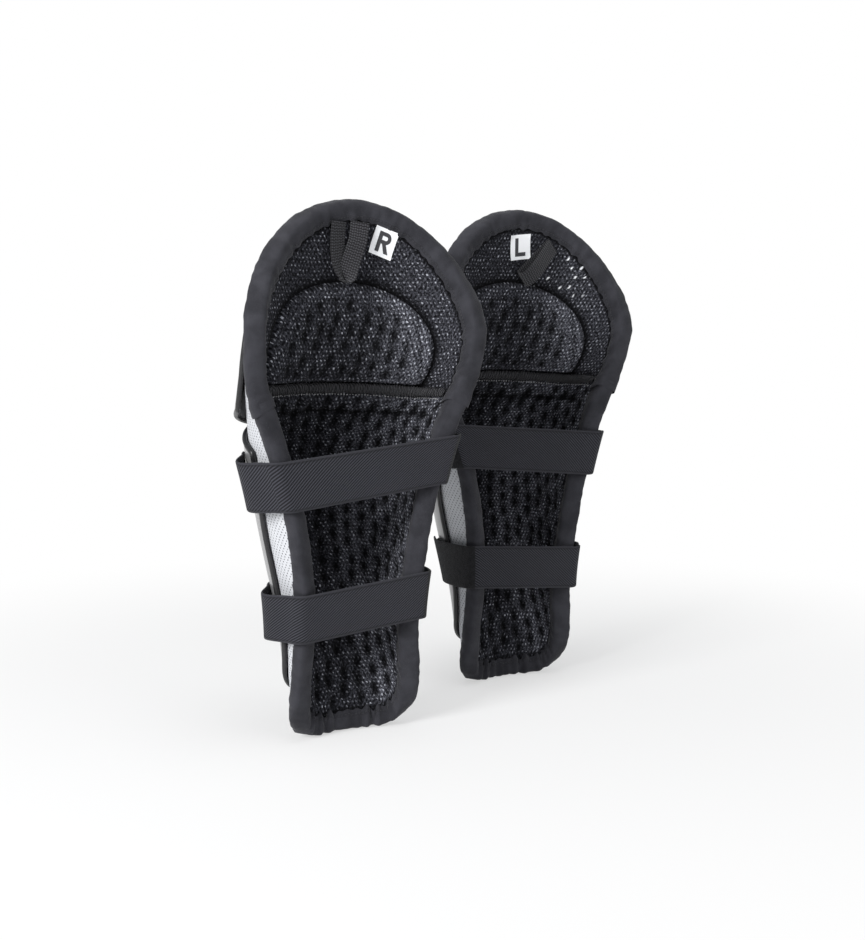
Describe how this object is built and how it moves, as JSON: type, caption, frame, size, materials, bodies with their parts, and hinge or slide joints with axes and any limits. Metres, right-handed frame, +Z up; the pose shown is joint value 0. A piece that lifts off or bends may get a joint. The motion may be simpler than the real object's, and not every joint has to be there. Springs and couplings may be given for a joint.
{
  "type": "knee-and-shin guard pair",
  "caption": "Right and left padded knee-and-shin guards: moulded grey shells over foam, black mesh lining, bound edges, a flex seam at the knee and elastic straps with hook tabs.",
  "frame": {"origin": "bottom centre of the pair's bounding box, on the floor under the hems", "axes": "+Z up along the shin, +Y towards the front of the leg where the shells are, +X across the leg from the right guard to the left guard"},
  "size_m": [0.399, 0.1974, 0.4071],
  "materials": {
    "outer_cover": "white perforated fabric",
    "foam": "closed-cell foam sheet",
    "mesh_liner": "black spacer mesh",
    "binding_tape": "charcoal folded tape",
    "shell_plastic": "semi-gloss moulded grey",
    "shell_trim": "black edge trim",
    "strap_elastic": "woven charcoal elastic",
    "hook_tape": "black hook tape",
    "label_fabric": "white woven label"
  },
  "bodies": {
    "right_shin": {"right_shin_shell": "shell_plastic", "right_shin_shell_trim": "shell_trim", "right_shin_cover": "outer_cover", "right_shin_foam": "foam", "right_shin_liner": "mesh_liner", "right_shin_binding": "binding_tape", "right_flex_seam_welt": "binding_tape", "right_upper_strap_anchor": "strap_elastic", "right_lower_strap_anchor": "strap_elastic", "right_upper_hook_patch": "hook_tape", "right_lower_hook_patch": "hook_tape"},
    "right_knee": {"right_knee_cap": "shell_plastic", "right_knee_cap_trim": "shell_trim", "right_knee_cover": "outer_cover", "right_knee_foam": "foam", "right_knee_liner": "mesh_liner", "right_knee_binding": "binding_tape", "right_knee_pad": "mesh_liner", "right_side_label": "label_fabric"},
    "right_loop": {"right_pull_loop": "binding_tape"},
    "right_upper_strap": {"right_upper_strap_band": "strap_elastic"},
    "right_upper_tab": {"right_upper_strap_tab": "strap_elastic"},
    "right_lower_strap": {"right_lower_strap_band": "strap_elastic"},
    "right_lower_tab": {"right_lower_strap_tab": "strap_elastic"},
    "left_shin": {"left_shin_shell": "shell_plastic", "left_shin_shell_trim": "shell_trim", "left_shin_cover": "outer_cover", "left_shin_foam": "foam", "left_shin_liner": "mesh_liner", "left_shin_binding": "binding_tape", "left_flex_seam_welt": "binding_tape", "left_upper_strap_anchor": "strap_elastic", "left_lower_strap_anchor": "strap_elastic", "left_upper_hook_patch": "hook_tape", "left_lower_hook_patch": "hook_tape"},
    "left_knee": {"left_knee_cap": "shell_plastic", "left_knee_cap_trim": "shell_trim", "left_knee_cover": "outer_cover", "left_knee_foam": "foam", "left_knee_liner": "mesh_liner", "left_knee_binding": "binding_tape", "left_knee_pad": "mesh_liner", "left_side_label": "label_fabric"},
    "left_loop": {"left_pull_loop": "binding_tape"},
    "left_upper_strap": {"left_upper_strap_band": "strap_elastic"},
    "left_upper_tab": {"left_upper_strap_tab": "strap_elastic"},
    "left_lower_strap": {"left_lower_strap_band": "strap_elastic"},
    "left_lower_tab": {"left_lower_strap_tab": "strap_elastic"}
  },
  "joints": [
    {"name": "right_knee_flex", "type": "hinge", "parent": "right_shin", "child": "right_knee", "pos_m": [-0.099, -0.08836, 0.258], "axis": [1, 0, 0], "range_deg": [0, 20], "stiffness_Nm_per_rad": 0.6},
    {"name": "right_loop_turn", "type": "hinge", "parent": "right_knee", "child": "right_loop", "pos_m": [-0.1044, -0.0731, 0.38941], "axis": [-1, 0, 0], "range_deg": [0, 110]},
    {"name": "right_upper_strap_swing", "type": "hinge", "parent": "right_shin", "child": "right_upper_strap", "pos_m": [-0.16306, -0.08734, 0.19818], "axis": [0.2832, 0.0035, -0.959], "range_deg": [0, 50]},
    {"name": "right_upper_tab_peel", "type": "hinge", "parent": "right_upper_strap", "child": "right_upper_tab", "pos_m": [-0.02054, -0.07973, 0.21032], "axis": [-0.3248, -0.0391, -0.945], "range_deg": [0, 100]},
    {"name": "right_lower_strap_swing", "type": "hinge", "parent": "right_shin", "child": "right_lower_strap", "pos_m": [-0.14641, -0.08185, 0.09801], "axis": [0.0342, 0.1043, -0.994], "range_deg": [0, 50]},
    {"name": "right_lower_tab_peel", "type": "hinge", "parent": "right_lower_strap", "child": "right_lower_tab", "pos_m": [-0.04098, -0.0761, 0.10661], "axis": [-0.0588, 0.1206, -0.991], "range_deg": [0, 100]},
    {"name": "left_guard_lift", "type": "slide", "parent": "right_shin", "child": "left_shin", "axis": [0, 0, 1], "range_m": [0, 0.45]},
    {"name": "left_knee_flex", "type": "hinge", "parent": "left_shin", "child": "left_knee", "pos_m": [0.099, -0.00936, 0.258], "axis": [1, 0, 0], "range_deg": [0, 20], "stiffness_Nm_per_rad": 0.6},
    {"name": "left_loop_turn", "type": "hinge", "parent": "left_knee", "child": "left_loop", "pos_m": [0.12902, 0.0078, 0.37661], "axis": [-0.6173, 0.0165, 0.7865], "range_deg": [0, 110]},
    {"name": "left_upper_strap_swing", "type": "hinge", "parent": "left_shin", "child": "left_upper_strap", "pos_m": [0.16306, -0.00834, 0.19818], "axis": [0.2832, -0.0035, 0.959], "range_deg": [0, 18]},
    {"name": "left_upper_tab_peel", "type": "hinge", "parent": "left_upper_strap", "child": "left_upper_tab", "pos_m": [0.02054, -0.00073, 0.21032], "axis": [-0.3248, 0.0391, 0.945], "range_deg": [0, 36]},
    {"name": "left_lower_strap_swing", "type": "hinge", "parent": "left_shin", "child": "left_lower_strap", "pos_m": [0.14641, -0.00285, 0.09801], "axis": [0.0342, -0.1043, 0.994], "range_deg": [0, 50]},
    {"name": "left_lower_tab_peel", "type": "hinge", "parent": "left_lower_strap", "child": "left_lower_tab", "pos_m": [0.04098, 0.0029, 0.10661], "axis": [-0.0588, -0.1206, 0.991], "range_deg": [0, 100]}
  ],
  "couplings": [
    {"joint": "right_upper_tab_peel", "follows": "right_upper_strap_swing", "ratio": 2},
    {"joint": "right_lower_tab_peel", "follows": "right_lower_strap_swing", "ratio": 2},
    {"joint": "left_upper_tab_peel", "follows": "left_upper_strap_swing", "ratio": 2},
    {"joint": "left_lower_tab_peel", "follows": "left_lower_strap_swing", "ratio": 2}
  ]
}
